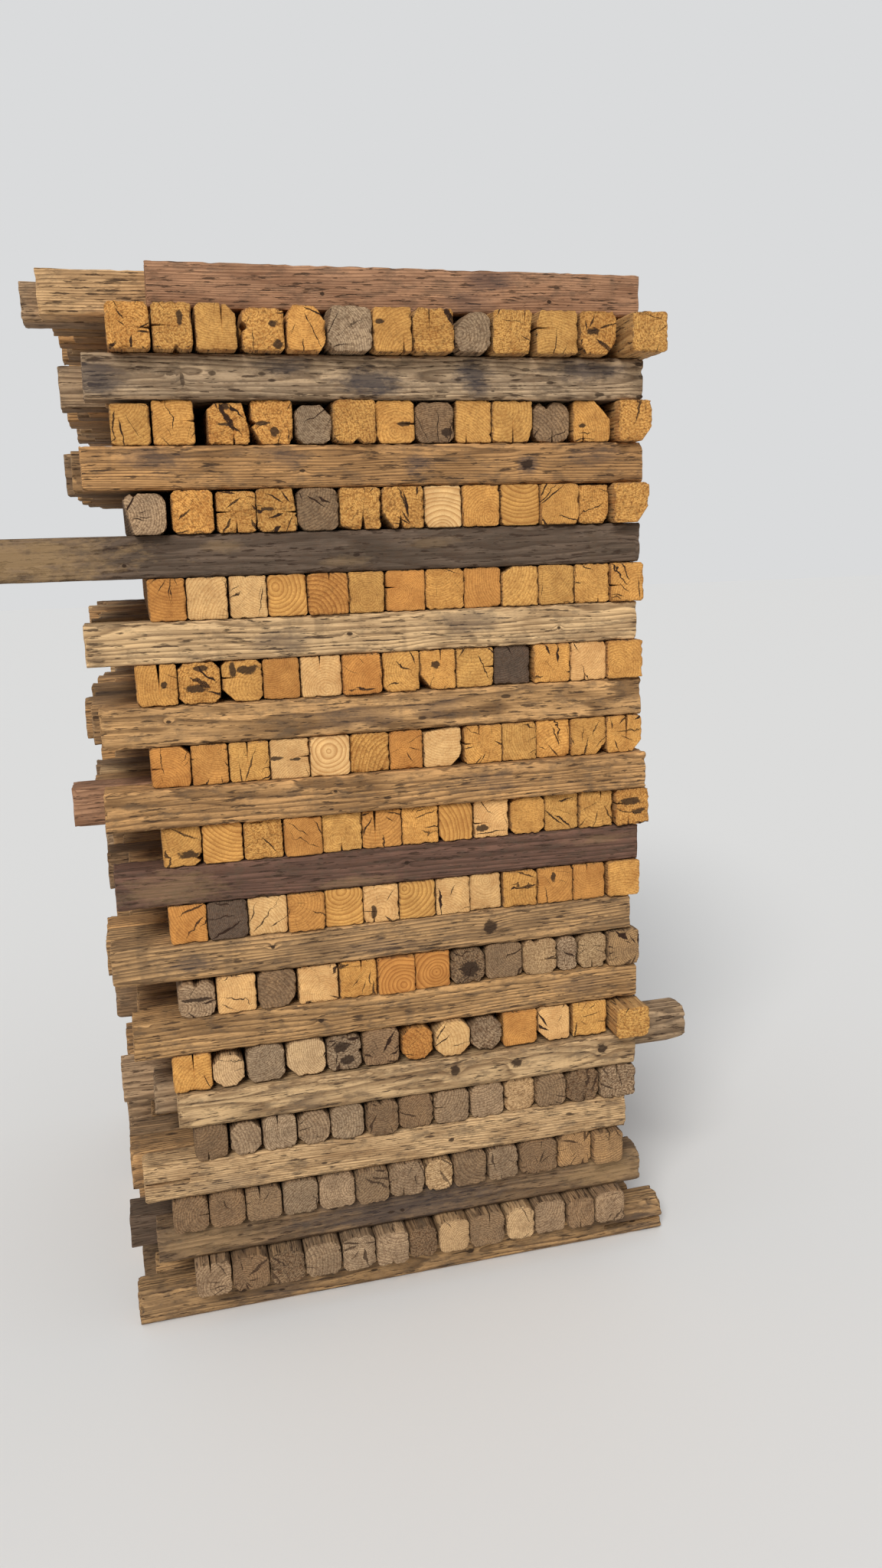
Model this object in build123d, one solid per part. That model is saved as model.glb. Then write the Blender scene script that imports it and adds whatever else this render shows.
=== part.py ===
from build123d import *
import os
import random
from dataclasses import dataclass

# A free-standing stack of reclaimed square timbers, piled in crossed courses.
# Crosswise timbers lie along X and turn one long side to the front, which is -Y.
# Lengthwise timbers lie along Y and show their sawn ends to the front.
# Every timber lies flat on the course below it, and nothing fastens the pile.

# Driving dimensions, in millimetres
SQUARE = 75.0                  # sawn side of a full timber, and the height of a course
STOCK_LENGTH = 1040.0          # length that the timbers were cut down to
UNCUT_LENGTH = 1220.0          # the one timber that was left longer
COURSES = 27                   # crosswise and lengthwise by turns, crosswise at both ends
ROW = 13                       # timbers lying side by side in a course
CLEARANCE = 1.0                # least gap between two neighbours in a course
CROSSWISE_LEFT = -565.0        # where the left ends of the crosswise timbers line up
LENGTHWISE_LEFT = -480.0       # where the rows of lengthwise timbers start
FRONT = 0.0                    # where the front ends and front sides line up

# Wear and sawing
ARRIS = 3.0                    # flat worn along every sawn edge
ARRIS_SPREAD = 1.5             # how much that flat differs from edge to edge
OUT_OF_SQUARE = 0.02           # slope of the most crooked end cut
STAGGER = 28.0                 # how far an unseen end stands out or back
UNDERSIZE = 3.0                # how much narrower an unseen timber may be
SLACK = 0.8                    # how much lower an unseen timber may be and still carry
CHECK_WIDTH = 3.5              # drying crack, where it opens at a side
CHECK_RUN = 150.0              # how far a drying crack runs along the timber
SPLIT_RUN = 220.0              # how far a split runs that opens an end wide
BREAK_RUN = 60.0               # how far a piece broke out of the side of an end
CHIP_RUN = 45.0                # how far a broken corner runs
BARK_RUN = 420.0               # how far a bark edge runs before it fades out
LONG_BARK_RUN = 700.0          # the same on the timbers that were sawn closest to the bark
SHORT_BARK_RUN = 250.0         # the same where only the end touches the bark

# Corners and sides of an end, as seen by someone who faces it
TOP_LEFT = (-1, 1)
TOP_RIGHT = (1, 1)
BOTTOM_LEFT = (-1, -1)
BOTTOM_RIGHT = (1, -1)
LEFT = (-1, 0)
RIGHT = (1, 0)
TOP = (0, 1)
BOTTOM = (0, -1)


@dataclass(frozen=True)
class Pare:
    """A flat that takes a corner off an end: a bark edge if its run is long, or a chip."""

    corner: tuple
    across: float
    up: float
    run: float


@dataclass(frozen=True)
class Notch:
    """A wedge missing from one side of an end, closing to nothing at its reach."""

    side: tuple
    along: float
    width: float
    reach: float
    run: float


@dataclass(frozen=True)
class Timber:
    """One timber, as it differs from a full square of the stock length."""

    wider: float = 0.0         # width over the nominal side
    lower: float = 0.0         # height under the nominal side
    out: float = 0.0           # near end beyond the line of near ends
    far: float = 0.0           # far end beyond the line of far ends
    gap: float = 0.0           # space left after it, over the clearance
    worn: float = ARRIS        # flat along its four long edges
    cuts: tuple = ()           # flats and notches at the near end
    far_cuts: tuple = ()       # flats and notches at the far end


def bark(corner, across, up, run=BARK_RUN):
    """Returns the flat of a bark edge, which fades out well back along the timber."""
    return Pare(corner, across, up, run)


def chip(corner, across, up, run=CHIP_RUN):
    """Returns a corner that broke off close to the end."""
    return Pare(corner, across, up, run)


def check(side, along, reach):
    """Returns a drying crack that opens at a side and runs in towards the heart."""
    return Notch(side, along, CHECK_WIDTH, reach, CHECK_RUN)


def broken(side, along, width, reach, run=BREAK_RUN):
    """Returns a piece that broke out of one side of an end."""
    return Notch(side, along, width, reach, run)


def section(width, height, flats):
    """Returns the eight-sided section of a timber, standing in the plane of its near end."""
    top_left, top_right, bottom_left, bottom_right = flats
    points = [
        (bottom_left, 0),
        (width - bottom_right, 0),
        (width, bottom_right),
        (width, height - top_right),
        (width - top_right, height),
        (top_left, height),
        (0, height - top_left),
        (0, bottom_left),
    ]
    outline = Polyline([(x, 0, z) for x, z in points], close=True)
    return make_face(outline)


def pare_plane(cut, width, height):
    """Returns the plane of a flat, facing the wood that stays."""
    side, level = cut.corner
    x = 0 if side < 0 else width
    z = 0 if level < 0 else height
    on_level = Vector(x - side * cut.across, 0, z)
    on_side = Vector(x, 0, z - level * cut.up)
    on_edge = Vector(x, cut.run, z)
    facing = (on_side - on_level).cross(on_edge - on_level)
    if facing.dot(Vector(width / 2, 0, height / 2) - on_level) < 0:
        facing = -facing
    return Plane(origin=on_level, z_dir=facing)


def notch_wedge(cut, width, height):
    """Returns the wedge that a notch removes, running in from the near end."""
    half = cut.width / 2
    beyond = cut.width
    spread = half * (1 + beyond / cut.reach)
    corners = [(cut.along - spread, -beyond), (cut.along + spread, -beyond), (cut.along, cut.reach)]
    side, level = cut.side
    if level:
        points = [(along, depth if level < 0 else height - depth) for along, depth in corners]
    else:
        points = [(depth if side < 0 else width - depth, along) for along, depth in corners]
    outline = Polyline([(x, -beyond, z) for x, z in points], close=True)
    return extrude(make_face(outline), amount=cut.run + beyond, dir=(0, 1, 0))


def turned_end_for_end(solid, width, length):
    """Returns a timber in the same place with its two ends swapped."""
    return Location((width, length, 0), (0, 0, 180)) * solid


def cut_end(solid, cuts, width, height):
    """Returns a timber with the flats and notches of its near end made."""
    for cut in cuts:
        if isinstance(cut, Pare):
            solid = split(solid, bisect_by=pare_plane(cut, width, height), keep=Keep.TOP)
        else:
            solid = solid - notch_wedge(cut, width, height)
    return solid


def make_timber(timber, chance):
    """Returns a timber with its near end at y = 0 and its lower left edge on the Y axis."""
    width = SQUARE + timber.wider
    height = SQUARE - timber.lower
    length = STOCK_LENGTH + timber.out + timber.far
    flats = [timber.worn + chance.uniform(-ARRIS_SPREAD, ARRIS_SPREAD) for corner in range(4)]
    solid = extrude(section(width, height, flats), amount=length, dir=(0, 1, 0))
    lean = chance.uniform(-OUT_OF_SQUARE, OUT_OF_SQUARE)
    tilt = chance.uniform(-OUT_OF_SQUARE, OUT_OF_SQUARE)
    back = (abs(lean) * width + abs(tilt) * height) / 2
    near_end = Plane(origin=(width / 2, back, height / 2), z_dir=(lean, 1, tilt))
    solid = split(solid, bisect_by=near_end, keep=Keep.TOP)
    solid = cut_end(solid, timber.cuts, width, height)
    if timber.far_cuts:
        solid = turned_end_for_end(solid, width, length)
        solid = cut_end(solid, timber.far_cuts, width, height)
        solid = turned_end_for_end(solid, width, length)
    return solid


def unseen(chance):
    """Returns a timber that the pile hides, with the small differences such timbers have."""
    return Timber(
        wider=-chance.uniform(0, UNDERSIZE),
        lower=chance.uniform(0, SLACK),
        out=chance.uniform(-STAGGER, STAGGER),
        far=chance.uniform(-STAGGER, STAGGER),
    )


def lengthwise_course(number, timbers, start=0.0, out=0.0):
    """Returns a course of timbers that show their ends, laid from the left to the right."""
    chance = random.Random(number)
    solids = []
    x = LENGTHWISE_LEFT + start
    for timber in timbers:
        solid = make_timber(timber, chance)
        place = Location((x, FRONT - out - timber.out, SQUARE * (number - 1)))
        solids.append(place * solid)
        x += SQUARE + timber.wider + CLEARANCE + timber.gap
    return solids


def crosswise_course(number, timbers, start=0.0):
    """Returns a course of timbers that lie across the front, laid from the front to the back."""
    chance = random.Random(number)
    timbers = list(timbers)
    while len(timbers) < ROW:
        timbers.append(unseen(chance))
    solids = []
    y = FRONT + start
    for timber in timbers:
        width = SQUARE + timber.wider
        solid = make_timber(timber, chance)
        place = Location((CROSSWISE_LEFT - timber.out, y + width, SQUARE * (number - 1)), (0, 0, -90))
        solids.append(place * solid)
        y += width + CLEARANCE + timber.gap
    return solids


def crosswise_courses():
    """Returns the crosswise courses by number, each named timber first from the front."""
    uncut = UNCUT_LENGTH - STOCK_LENGTH
    return {
        27: crosswise_course(27, start=15, timbers=[
            Timber(out=-142),
            Timber(out=38, cuts=(chip(BOTTOM_RIGHT, 6, 12),)),
            Timber(out=71, lower=6, worn=6),
        ]),
        25: crosswise_course(25, start=-8, timbers=[
            Timber(out=-26, worn=4),
            Timber(out=-60, lower=4),
        ]),
        23: crosswise_course(23, timbers=[
            Timber(out=-10, far=4, far_cuts=(chip(TOP_LEFT, 10, 9),)),
            Timber(out=8, lower=2),
        ]),
        21: crosswise_course(21, timbers=[
            Timber(out=uncut, cuts=(bark(TOP_RIGHT, 14, 10),)),
            Timber(out=30),
        ]),
        19: crosswise_course(19, timbers=[
            Timber(out=9, far=-6),
            Timber(out=-20, lower=3, worn=6),
        ]),
        17: crosswise_course(17, timbers=[
            Timber(out=-4, far=5, worn=5),
            Timber(out=12),
        ]),
        15: crosswise_course(15, start=-10, timbers=[
            Timber(out=1, far=13, cuts=(chip(TOP_RIGHT, 12, 9),)),
            Timber(out=58, worn=7),
            Timber(out=20, lower=4),
        ]),
        13: crosswise_course(13, timbers=[
            Timber(out=-4, worn=4),
            Timber(out=-30),
        ]),
        11: crosswise_course(11, timbers=[
            Timber(out=15, far=-15, worn=5, cuts=(bark(BOTTOM_RIGHT, 10, 12),)),
            Timber(out=24, lower=2),
        ]),
        9: crosswise_course(9, timbers=[
            Timber(out=-11, far_cuts=(chip(TOP_LEFT, 12, 10),)),
            Timber(out=-26),
        ]),
        7: crosswise_course(7, start=-9, timbers=[
            Timber(out=-83, far=-5, lower=4, worn=7, cuts=(chip(BOTTOM_RIGHT, 16, 14),)),
            Timber(out=-40, far=149, worn=9, far_cuts=(
                bark(TOP_LEFT, 16, 18, 160),
                chip(BOTTOM_LEFT, 18, 16, 80),
            )),
            Timber(out=22, far=30),
        ]),
        5: crosswise_course(5, timbers=[
            Timber(out=-7, far=-22, worn=7, cuts=(broken(RIGHT, 40, 9, 14, 90),)),
            Timber(out=16),
        ]),
        3: crosswise_course(3, start=22, timbers=[
            Timber(out=-23, far=22, worn=9, far_cuts=(bark(TOP_LEFT, 18, 14, SHORT_BARK_RUN),)),
            Timber(out=30, lower=3),
        ]),
        1: crosswise_course(1, start=50, timbers=[
            Timber(out=25, far=90, worn=10, far_cuts=(
                broken(LEFT, 30, 12, 30, 140),
                chip(TOP_LEFT, 22, 20, 120),
            )),
            Timber(out=-12, far=40, worn=7),
        ]),
    }


def upper_lengthwise_courses():
    """Returns the lengthwise courses above the longest timber, laid from the left."""
    return {
        26: lengthwise_course(26, start=-13, out=40, timbers=[
            Timber(-4, gap=2, worn=6, cuts=(check(RIGHT, 34, 18),)),
            Timber(-9, gap=4, cuts=(check(LEFT, 38, 24), broken(BOTTOM, 38, 12, 8))),
            Timber(-7, gap=8, cuts=(bark(TOP_RIGHT, 16, 18), check(TOP, 44, 32))),
            Timber(-4, gap=3, lower=6, cuts=(chip(TOP_LEFT, 13, 12), broken(LEFT, 38, 16, 9))),
            Timber(-8, gap=2, cuts=(
                bark(TOP_LEFT, 13, 20),
                bark(TOP_RIGHT, 18, 26),
                bark(BOTTOM_RIGHT, 10, 14),
            )),
            Timber(4, cuts=(bark(TOP_LEFT, 9, 40),)),
            Timber(-6, gap=1, cuts=(check(BOTTOM, 54, 20),)),
            Timber(0, worn=6, cuts=(bark(TOP_LEFT, 10, 14), check(TOP, 30, 34))),
            Timber(-9, gap=3, lower=6, cuts=(
                bark(TOP_LEFT, 30, 28, LONG_BARK_RUN),
                bark(BOTTOM_RIGHT, 12, 14),
            )),
            Timber(1, gap=5, cuts=(bark(BOTTOM_RIGHT, 9, 68, LONG_BARK_RUN), check(TOP, 60, 22))),
            Timber(4, gap=3, cuts=(bark(TOP_LEFT, 9, 22), check(LEFT, 44, 26))),
            Timber(-4, gap=14, worn=6, cuts=(bark(BOTTOM_LEFT, 15, 20), bark(BOTTOM_RIGHT, 19, 22))),
            Timber(-6, out=38, lower=5),
        ]),
        24: lengthwise_course(24, start=-19, timbers=[
            Timber(-8, gap=2, lower=6, worn=4),
            Timber(-4, gap=21, worn=4, cuts=(check(RIGHT, 40, 14),)),
            Timber(-3, gap=2, lower=5, cuts=(
                bark(TOP_LEFT, 13, 11),
                bark(TOP_RIGHT, 12, 46),
                check(BOTTOM, 44, 20),
            )),
            Timber(-2, gap=3, cuts=(
                bark(BOTTOM_LEFT, 18, 32, SHORT_BARK_RUN),
                bark(BOTTOM_RIGHT, 8, 12),
                broken(LEFT, 36, 12, 9),
            )),
            Timber(-10, lower=8, worn=8, cuts=(bark(TOP_RIGHT, 20, 20),)),
            Timber(2, out=12, cuts=(
                chip(BOTTOM_LEFT, 20, 8, 60),
                broken(BOTTOM, 44, 20, 9),
                chip(TOP_LEFT, 9, 11),
            )),
            Timber(-3, gap=1, worn=6, cuts=(bark(BOTTOM_LEFT, 10, 14), check(RIGHT, 34, 26))),
            Timber(-3, gap=2, lower=3, worn=9),
            Timber(-7, gap=1, cuts=(check(BOTTOM, 20, 14),)),
            Timber(3, gap=2, cuts=(chip(BOTTOM_RIGHT, 9, 28, 90), check(BOTTOM, 40, 30))),
            Timber(-3, gap=5, lower=3, out=-6, cuts=(
                broken(TOP, 27, 22, 13, 120),
                check(BOTTOM, 38, 24),
            )),
            Timber(-1, gap=7, worn=4, cuts=(bark(TOP_RIGHT, 32, 34, LONG_BARK_RUN), check(BOTTOM, 20, 24))),
            Timber(-7, out=22, cuts=(bark(BOTTOM_RIGHT, 20, 26, SHORT_BARK_RUN),)),
        ]),
        22: lengthwise_course(22, start=-10, out=4, timbers=[
            Timber(-2, gap=8, lower=5, out=14, cuts=(
                bark(BOTTOM_LEFT, 17, 66),
                chip(TOP_LEFT, 9, 8),
                broken(TOP, 20, 14, 6),
            )),
            Timber(-3, gap=4, worn=7),
            Timber(-6, lower=3, cuts=(check(LEFT, 36, 28), check(BOTTOM, 34, 22))),
            Timber(-4, cuts=(bark(TOP_RIGHT, 7, 44), check(RIGHT, 34, 22))),
            Timber(0, gap=1, worn=6, cuts=(bark(BOTTOM_LEFT, 12, 14), bark(TOP_RIGHT, 12, 10))),
            Timber(0, gap=2, cuts=(
                broken(BOTTOM, 42, 9, 28, SPLIT_RUN),
                chip(BOTTOM_LEFT, 30, 8, 80),
            )),
            Timber(3, cuts=(
                broken(BOTTOM, 34, 10, 26, SPLIT_RUN),
                bark(BOTTOM_LEFT, 22, 30, SHORT_BARK_RUN),
            )),
            Timber(-5, gap=1, cuts=(bark(BOTTOM_LEFT, 6, 12),)),
            Timber(-3, gap=2),
            Timber(1),
            Timber(1, out=6),
            Timber(-14, gap=5, lower=3, cuts=(chip(BOTTOM_RIGHT, 8, 22),)),
            Timber(-4, out=18, cuts=(bark(BOTTOM_RIGHT, 24, 34, SHORT_BARK_RUN),)),
        ]),
    }


def middle_lengthwise_courses():
    """Returns the lengthwise courses of newer wood in the middle of the pile."""
    return {
        20: lengthwise_course(20, start=20, timbers=[
            Timber(-9),
            Timber(-3, gap=2),
            Timber(-8),
            Timber(-4, worn=4),
            Timber(0, out=6, cuts=(check(TOP, 40, 14),)),
            Timber(-8, gap=2),
            Timber(-1, cuts=(check(LEFT, 44, 18),)),
            Timber(0, worn=6),
            Timber(-3, gap=1, out=-4, cuts=(chip(BOTTOM_RIGHT, 8, 7),)),
            Timber(-3, cuts=(bark(TOP_LEFT, 22, 15, SHORT_BARK_RUN),)),
            Timber(-3, gap=1),
            Timber(-4, cuts=(check(BOTTOM, 48, 12),)),
            Timber(-6, out=6, worn=5, cuts=(check(LEFT, 32, 20),)),
        ]),
        18: lengthwise_course(18, start=-13, timbers=[
            Timber(-2, cuts=(broken(TOP, 41, 6, 42, SPLIT_RUN), chip(BOTTOM_LEFT, 9, 10))),
            Timber(0, gap=2, worn=12),
            Timber(-2, worn=8, cuts=(bark(BOTTOM_LEFT, 24, 24, SHORT_BARK_RUN), check(LEFT, 44, 26))),
            Timber(-8, gap=1),
            Timber(1, cuts=(check(TOP, 36, 18),)),
            Timber(-1, gap=2, out=8),
            Timber(-4, cuts=(bark(BOTTOM_LEFT, 8, 12),)),
            Timber(-6, gap=1, cuts=(bark(BOTTOM_LEFT, 24, 30, SHORT_BARK_RUN), check(TOP, 40, 22))),
            Timber(-1, gap=1, cuts=(check(RIGHT, 38, 20),)),
            Timber(-2, gap=6, worn=5, out=-6),
            Timber(-1),
            Timber(0, cuts=(check(BOTTOM, 30, 16),)),
            Timber(-1, out=6),
        ]),
        16: lengthwise_course(16, start=1, timbers=[
            Timber(-3, worn=6, cuts=(bark(TOP_RIGHT, 17, 16), check(LEFT, 36, 26))),
            Timber(-9, gap=1),
            Timber(-1, cuts=(check(TOP, 34, 28),)),
            Timber(-2, cuts=(check(RIGHT, 40, 22),)),
            Timber(0, out=5),
            Timber(0),
            Timber(-10, gap=1, cuts=(chip(TOP_LEFT, 8, 8),)),
            Timber(0, gap=5, cuts=(
                bark(BOTTOM_RIGHT, 22, 22, SHORT_BARK_RUN),
                bark(TOP_LEFT, 58, 7, LONG_BARK_RUN),
            )),
            Timber(1, cuts=(check(TOP, 30, 20), check(LEFT, 40, 18))),
            Timber(-5),
            Timber(-5, out=-5),
            Timber(1, cuts=(bark(BOTTOM_RIGHT, 23, 25, SHORT_BARK_RUN),)),
            Timber(0, cuts=(
                broken(TOP, 42, 6, 52, SPLIT_RUN),
                bark(BOTTOM_RIGHT, 21, 24, SHORT_BARK_RUN),
            )),
        ]),
        14: lengthwise_course(14, start=10, timbers=[
            Timber(-3, cuts=(broken(RIGHT, 14, 16, 12), chip(BOTTOM_RIGHT, 16, 12))),
            Timber(-1, gap=1, worn=4),
            Timber(-2, gap=1),
            Timber(-3, out=5),
            Timber(1, cuts=(check(BOTTOM, 36, 16),)),
            Timber(2, cuts=(broken(TOP, 25, 6, 48, SPLIT_RUN),)),
            Timber(-3, gap=1),
            Timber(-7, gap=2, cuts=(bark(BOTTOM_LEFT, 10, 12),)),
            Timber(-4, gap=3, cuts=(check(LEFT, 30, 24),)),
            Timber(-3, worn=11),
            Timber(-4, gap=1, out=-4),
            Timber(-4, gap=3, cuts=(check(TOP, 46, 18),)),
            Timber(-2, out=8, cuts=(check(LEFT, 46, 20), check(BOTTOM, 28, 18))),
        ]),
        12: lengthwise_course(12, start=11, timbers=[
            Timber(-5),
            Timber(0, worn=5),
            Timber(-1),
            Timber(-4, out=6),
            Timber(-1, worn=4),
            Timber(-5, cuts=(check(BOTTOM, 20, 18),)),
            Timber(-2, gap=1),
            Timber(-6),
            Timber(-10, gap=3, out=-5),
            Timber(-4, cuts=(bark(TOP_RIGHT, 9, 8),)),
            Timber(1),
            Timber(-6, gap=4, cuts=(check(TOP, 30, 15),)),
            Timber(-4, out=5, worn=5),
        ]),
    }


def lower_lengthwise_courses():
    """Returns the lengthwise courses of older, more weathered wood near the floor."""
    return {
        10: lengthwise_course(10, start=16, timbers=[
            Timber(-4, gap=1, lower=4, worn=6, cuts=(bark(TOP_LEFT, 14, 14), broken(TOP, 36, 20, 10))),
            Timber(0, gap=2, worn=4),
            Timber(-1, gap=3, worn=5, cuts=(bark(BOTTOM_RIGHT, 20, 24),)),
            Timber(3, gap=2),
            Timber(0, cuts=(check(TOP, 44, 20),)),
            Timber(0, out=6),
            Timber(-3, gap=1),
            Timber(-4, gap=2, lower=3, worn=8, cuts=(broken(LEFT, 50, 12, 7),)),
            Timber(3, worn=6, out=-5),
            Timber(-3, worn=8, cuts=(broken(TOP, 26, 16, 8), check(RIGHT, 30, 26))),
            Timber(-31, gap=2, worn=4, lower=2),
            Timber(-13, worn=5, cuts=(check(BOTTOM, 30, 20),)),
            Timber(-5, out=7, worn=5),
        ]),
        8: lengthwise_course(8, start=-5, timbers=[
            Timber(0, worn=5, cuts=(check(TOP, 40, 34),)),
            Timber(-15, gap=4, lower=10, worn=17),
            Timber(0, gap=2, worn=9),
            Timber(2, gap=2, worn=8, cuts=(bark(BOTTOM_LEFT, 22, 24),)),
            Timber(-6, gap=2, lower=3, worn=10, cuts=(broken(RIGHT, 36, 12, 7),)),
            Timber(0, gap=4, worn=6),
            Timber(-11, gap=3, lower=4, worn=17),
            Timber(-2, gap=2, worn=19, out=6),
            Timber(-9, gap=2, lower=5, worn=18),
            Timber(0, gap=1, worn=5),
            Timber(-6, gap=6, worn=6, cuts=(bark(BOTTOM_LEFT, 23, 24),)),
            Timber(1, gap=4),
            Timber(0, out=42, lower=8, worn=7),
        ]),
        6: lengthwise_course(6, start=25, timbers=[
            Timber(-10, gap=4, worn=6, cuts=(check(BOTTOM, 26, 18),)),
            Timber(-15, gap=2, lower=6, worn=16),
            Timber(-8, gap=2, worn=8, cuts=(check(TOP, 30, 26),)),
            Timber(-10, lower=4, worn=16),
            Timber(-7, gap=3, worn=8),
            Timber(-9, gap=1, worn=8, out=8, cuts=(broken(TOP, 30, 14, 8),)),
            Timber(-3, gap=1, worn=11),
            Timber(0, gap=2, lower=3, worn=8, cuts=(check(LEFT, 36, 26),)),
            Timber(-3, gap=2, worn=6),
            Timber(-8, worn=9, out=-6, cuts=(broken(LEFT, 30, 14, 9), chip(TOP_RIGHT, 14, 12))),
            Timber(-8, gap=1, worn=9),
            Timber(-3, gap=1, worn=8, cuts=(check(BOTTOM, 42, 22),)),
            Timber(5, out=6, worn=8, cuts=(check(TOP, 38, 26),)),
        ]),
        4: lengthwise_course(4, start=-27, timbers=[
            Timber(-5, worn=6, cuts=(check(RIGHT, 34, 22),)),
            Timber(-4, worn=7),
            Timber(-4, gap=2, lower=3, worn=8, cuts=(check(TOP, 28, 24),)),
            Timber(-4, gap=1, worn=7),
            Timber(-1, worn=8, cuts=(chip(TOP_RIGHT, 14, 16),)),
            Timber(-6, worn=9, out=7),
            Timber(0, gap=1, worn=8, cuts=(check(BOTTOM, 30, 20),)),
            Timber(-16, gap=2, lower=5, worn=12),
            Timber(-5, gap=3, worn=8),
            Timber(-9, gap=4, worn=8, cuts=(check(LEFT, 38, 22),)),
            Timber(9, gap=2, worn=6),
            Timber(1, worn=6, out=-6, cuts=(bark(TOP_LEFT, 12, 14),)),
            Timber(-8, out=9, worn=8, cuts=(check(TOP, 36, 22),)),
        ]),
        2: lengthwise_course(2, start=7, timbers=[
            Timber(-4, gap=1, worn=8, cuts=(check(TOP, 30, 24),)),
            Timber(-1, worn=9),
            Timber(-4, lower=4, worn=8, cuts=(check(LEFT, 34, 22),)),
            Timber(0, gap=2, worn=7),
            Timber(-6, worn=10),
            Timber(-6, worn=8, out=6, cuts=(broken(BOTTOM, 34, 14, 8),)),
            Timber(-14, gap=3, lower=5, worn=12),
            Timber(-8, worn=8),
            Timber(3, gap=3, worn=7, cuts=(check(TOP, 44, 24),)),
            Timber(-12, gap=1, worn=10),
            Timber(-5, gap=3, worn=8, out=-6),
            Timber(-13, lower=3, worn=9, cuts=(check(BOTTOM, 30, 18),)),
            Timber(-5, worn=8),
        ]),
    }


def make_stack():
    """Returns the solids of every course by number, with the origin under the middle."""
    courses = {
        **crosswise_courses(),
        **upper_lengthwise_courses(),
        **middle_lengthwise_courses(),
        **lower_lengthwise_courses(),
    }
    whole = Compound([solid for solids in courses.values() for solid in solids]).bounding_box()
    centre = Location((-(whole.min.X + whole.max.X) / 2, -(whole.min.Y + whole.max.Y) / 2, 0))
    return {number: [centre * solid for solid in courses[number]] for number in range(1, COURSES + 1)}


def write_parts(courses):
    """Writes one file for each course, bottom up, named for the way that its timbers lie."""
    os.makedirs("parts", exist_ok=True)
    for number, solids in courses.items():
        way = "crosswise" if number % 2 else "lengthwise"
        course = Compound([piece for solid in solids for piece in solid.solids()])
        export_step(course, f"parts/course_{number:02d}_{way}.step")


write_parts(make_stack())
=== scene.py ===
import logging
import math
import random
from dataclasses import dataclass, field
from enum import Enum
from typing import Any, Iterator, Sequence, Union

import bmesh
import bpy
from mathutils import Euler, Matrix, Vector, noise


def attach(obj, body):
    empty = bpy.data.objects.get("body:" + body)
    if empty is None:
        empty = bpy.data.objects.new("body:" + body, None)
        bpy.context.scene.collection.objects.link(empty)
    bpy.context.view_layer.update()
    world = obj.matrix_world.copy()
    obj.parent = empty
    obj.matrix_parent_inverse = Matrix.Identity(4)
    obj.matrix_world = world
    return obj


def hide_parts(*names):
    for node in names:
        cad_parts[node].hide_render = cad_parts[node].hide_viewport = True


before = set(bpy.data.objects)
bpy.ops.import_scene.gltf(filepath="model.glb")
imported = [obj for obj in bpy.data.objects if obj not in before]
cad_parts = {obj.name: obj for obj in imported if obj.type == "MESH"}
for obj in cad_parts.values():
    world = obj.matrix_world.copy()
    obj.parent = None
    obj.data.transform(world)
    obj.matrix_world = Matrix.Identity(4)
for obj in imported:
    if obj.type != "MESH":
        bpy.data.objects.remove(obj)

log = logging.getLogger("lumber")

Number = Union[float, "Value"]
Colour = tuple[float, float, float, float]
Socket = bpy.types.NodeSocket


def painted(red: int, green: int, blue: int) -> Colour:
    """Returns a colour that is written in screen values from 0 to 255 as linear light.

    Args:
        red: The red value.
        green: The green value.
        blue: The blue value.

    Returns:
        The linear colour with full alpha.
    """
    linear = []
    for part in (red / 255, green / 255, blue / 255):
        linear.append(part / 12.92 if part <= 0.04045 else ((part + 0.055) / 1.055) ** 2.4)
    return linear[0], linear[1], linear[2], 1.0


def placed(name: str, data: bpy.types.ID) -> bpy.types.Object:
    """Adds an object with its data to the scene.

    Args:
        name: The object's name.
        data: Its mesh, lamp or camera.

    Returns:
        The object, at the origin.
    """
    made = bpy.data.objects.new(name, data)
    bpy.context.scene.collection.objects.link(made)
    return made


def settled(work: bmesh.types.BMesh, name: str) -> bpy.types.Mesh:
    """Makes a mesh of one under work, which it frees.

    Args:
        work: The mesh under work.
        name: The name of the finished mesh.

    Returns:
        The finished mesh.
    """
    mesh = bpy.data.meshes.new(name)
    work.to_mesh(mesh)
    work.free()
    return mesh


class Tone(Enum):
    """The colours of the timbers, each named for what it looks like."""

    GOLDEN = "g"
    PALE = "p"
    ORANGE = "o"
    HONEY = "h"
    STRAW = "s"
    TAN = "t"
    BROWN = "b"
    RED = "r"
    WEATHERED = "w"
    DARK = "d"
    PURPLE = "u"


# Old wood: its long edges are rounder, and its shades differ more.
OLD_TONES = (Tone.WEATHERED, Tone.BROWN, Tone.STRAW)


@dataclass(frozen=True)
class Look:
    """How one tone of timber shows.

    Attributes:
        wood: The colour of the wood between its growth rings.
        ring: The colour of the dark part of a ring.
        contrast: How strongly the rings show.
        speckle: How rough and pitted the sawn end is.
        age: How much grey lies on the surface.
    """

    wood: Colour
    ring: Colour
    contrast: float
    speckle: float
    age: float


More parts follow.
